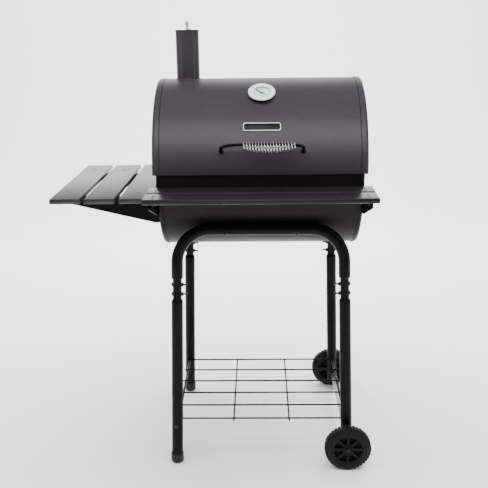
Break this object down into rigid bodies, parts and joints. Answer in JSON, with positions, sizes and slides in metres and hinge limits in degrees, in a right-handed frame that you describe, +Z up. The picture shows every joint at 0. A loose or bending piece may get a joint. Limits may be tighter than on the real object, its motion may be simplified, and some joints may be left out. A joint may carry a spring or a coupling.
{
  "type": "barrel charcoal smoker",
  "caption": "Barrel charcoal smoker with hinged lid, chimney damper, lid thermometer, coil-grip handle, front and side shelves, wire rack, feet and wheels.",
  "frame": {"origin": "on the floor, under the middle of the whole object's box", "axes": "+X along the barrel towards the wheels, -Y is the front where the handle is, +Z up"},
  "size_m": [0.9054, 0.7114, 1.3083],
  "materials": {
    "lid_paint": "satin charcoal-grey paint",
    "firebox_paint": "satin dark grey paint, browner than the lid",
    "cast_iron": "matt black",
    "bare_steel": "plain steel",
    "stand_paint": "satin black powder coat",
    "black_zinc": "black zinc plate",
    "slat_paint": "black satin paint",
    "wheel_plastic": "moulded black plastic",
    "chrome": "bright plate",
    "dial_face": null,
    "lens_glass": "clear",
    "needle_paint": "matt black",
    "badge_face": "gloss black with a bright rim, blank"
  },
  "bodies": {
    "firebox_and_stand": {"firebox_shell": "firebox_paint", "firebox_end_left": "firebox_paint", "firebox_end_right": "firebox_paint", "grate_ledges": "bare_steel", "firebox_rivets": "bare_steel", "cooking_grate_left": "cast_iron", "cooking_grate_right": "cast_iron", "charcoal_grate": "bare_steel", "air_damper_pin": "bare_steel", "front_arch_left": "stand_paint", "front_arch_right": "stand_paint", "rear_arch_left": "stand_paint", "rear_arch_right": "stand_paint", "leg_front_left": "stand_paint", "leg_front_right": "stand_paint", "leg_rear_left": "stand_paint", "leg_rear_right": "stand_paint", "feet": "wheel_plastic", "frame_bolts": "black_zinc", "frame_nuts": "black_zinc", "axle": "bare_steel", "axle_spacers": "wheel_plastic", "axle_cap_nuts": "black_zinc", "rack_rails": "stand_paint", "rack_rail_caps": "black_zinc", "rack_long_wires": "stand_paint", "rack_cross_wires": "stand_paint", "front_shelf_slat_front": "slat_paint", "front_shelf_slat_rear": "slat_paint", "front_shelf_bracket_left": "stand_paint", "front_shelf_bracket_right": "stand_paint", "front_shelf_screws": "black_zinc", "side_shelf_slats": "slat_paint", "side_shelf_bracket_front": "stand_paint", "side_shelf_bracket_rear": "stand_paint", "side_shelf_screws": "black_zinc", "hinge_lower_leaves": "stand_paint", "hinge_pins": "bare_steel"},
    "lid": {"lid_shell": "lid_paint", "lid_end_left": "lid_paint", "lid_end_right": "lid_paint", "hinge_upper_leaves": "stand_paint", "lid_rivets": "bare_steel", "chimney": "lid_paint", "damper_pivot": "bare_steel", "thermometer_case": "chrome", "thermometer_dial": "dial_face", "thermometer_lens": "lens_glass", "thermometer_stem": "bare_steel", "badge": "badge_face", "handle_rod": "stand_paint", "handle_coil": "chrome", "handle_collars": "stand_paint"},
    "chimney_damper": {"damper_plate": "lid_paint", "damper_knob": "chrome"},
    "air_damper": {"air_damper_disc": "firebox_paint"},
    "wheel_front": {"wheel_front": "wheel_plastic"},
    "wheel_rear": {"wheel_rear": "wheel_plastic"},
    "thermometer_needle": {"thermometer_needle": "needle_paint"}
  },
  "joints": [
    {"name": "lid_hinge", "type": "hinge", "parent": "firebox_and_stand", "child": "lid", "pos_m": [0.12381, 0.30883, 0.896], "axis": [-1, 0, 0], "range_deg": [0, 95]},
    {"name": "chimney_damper_swing", "type": "hinge", "parent": "lid", "child": "chimney_damper", "pos_m": [-0.09019, 0.12733, 1.2815], "axis": [0, 0, 1], "range_deg": [0, 90]},
    {"name": "air_damper_turn", "type": "hinge", "parent": "firebox_and_stand", "child": "air_damper", "pos_m": [0.41281, 0.05083, 0.73277], "axis": [1, 0, 0], "range_deg": [0, 45]},
    {"name": "wheel_front_spin", "type": "hinge", "parent": "firebox_and_stand", "child": "wheel_front", "pos_m": [0.38269, -0.22901, 0.07], "axis": [0, 1, 0], "continuous": true},
    {"name": "wheel_rear_spin", "type": "hinge", "parent": "firebox_and_stand", "child": "wheel_rear", "pos_m": [0.38269, 0.33067, 0.07], "axis": [0, 1, 0], "continuous": true},
    {"name": "thermometer_needle_turn", "type": "hinge", "parent": "lid", "child": "thermometer_needle", "pos_m": [0.12981, -0.07803, 1.10746], "axis": [0, 0.515, -0.8572], "range_deg": [0, 240]}
  ]
}
